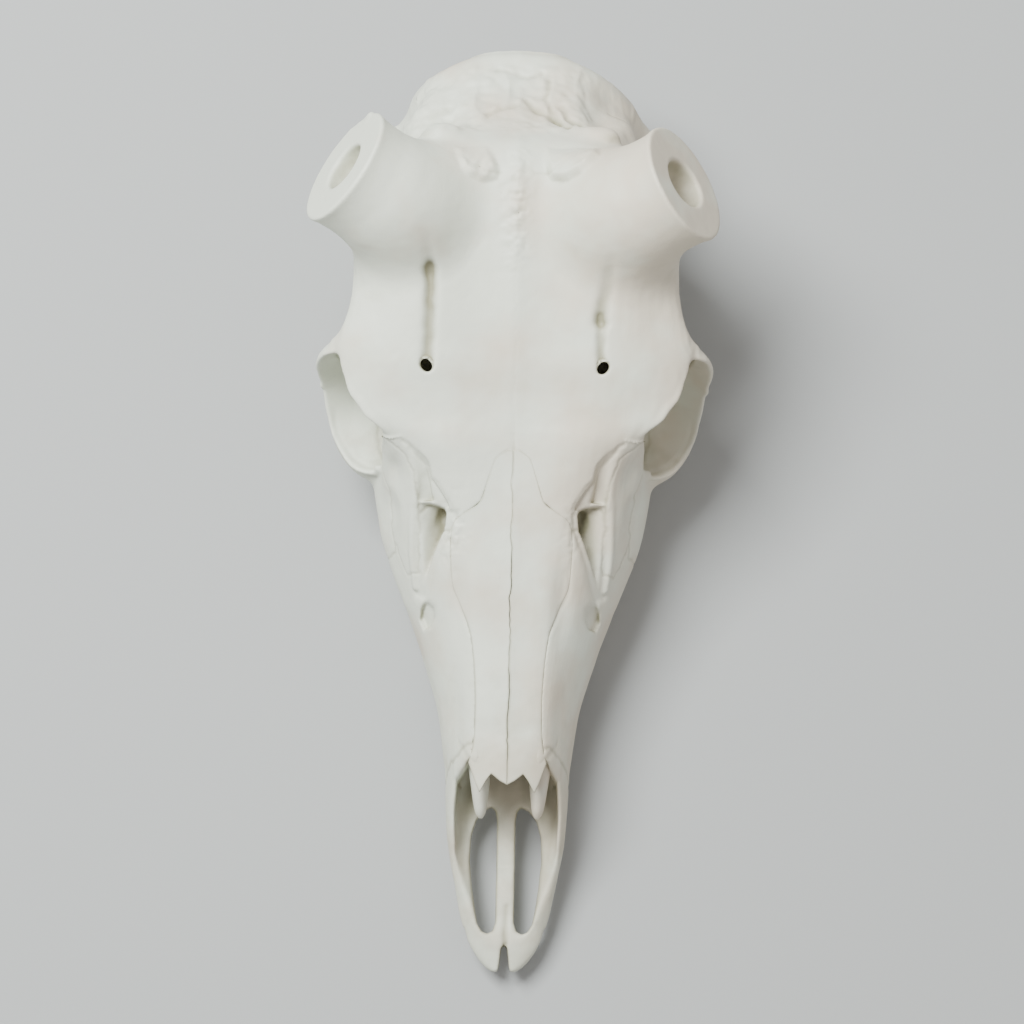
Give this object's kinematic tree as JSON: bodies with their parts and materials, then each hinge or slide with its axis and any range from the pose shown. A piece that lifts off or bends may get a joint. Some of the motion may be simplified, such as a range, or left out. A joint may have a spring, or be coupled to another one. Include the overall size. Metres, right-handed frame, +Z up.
{
  "type": "deer skull",
  "caption": "Cleaned upper skull of a male deer without its lower jaw: sawn antler pedicles, open eye sockets and cheek teeth.",
  "frame": {"origin": "on the table, under the middle of the skull's bounding box", "axes": "+X to the animal's left, -Y towards the snout, +Z up, square to the chewing faces of the cheek teeth"},
  "size_m": [0.1767, 0.3999, 0.1629],
  "materials": {
    "bone": "matt bleached bone",
    "upper_jaw": "matt bleached bone, with satin teeth",
    "sawn_pedicle": "matt bleached bone, sawn flat",
    "scroll_bone": "matt thin bone"
  },
  "bodies": {
    "root": {"premaxilla_left": "bone", "premaxilla_right": "bone", "nasal_left": "bone", "nasal_right": "bone", "turbinate_left": "scroll_bone", "turbinate_right": "scroll_bone", "maxilla_left": "upper_jaw", "maxilla_right": "upper_jaw", "lacrimal_left": "bone", "lacrimal_right": "bone", "zygomatic_left": "bone", "zygomatic_right": "bone", "frontal_left": "bone", "frontal_right": "bone", "pedicle_left": "sawn_pedicle", "pedicle_right": "sawn_pedicle", "parietal": "bone", "temporal_left": "bone", "temporal_right": "bone", "sphenoid": "bone", "occipital": "bone"}
  },
  "joints": []
}
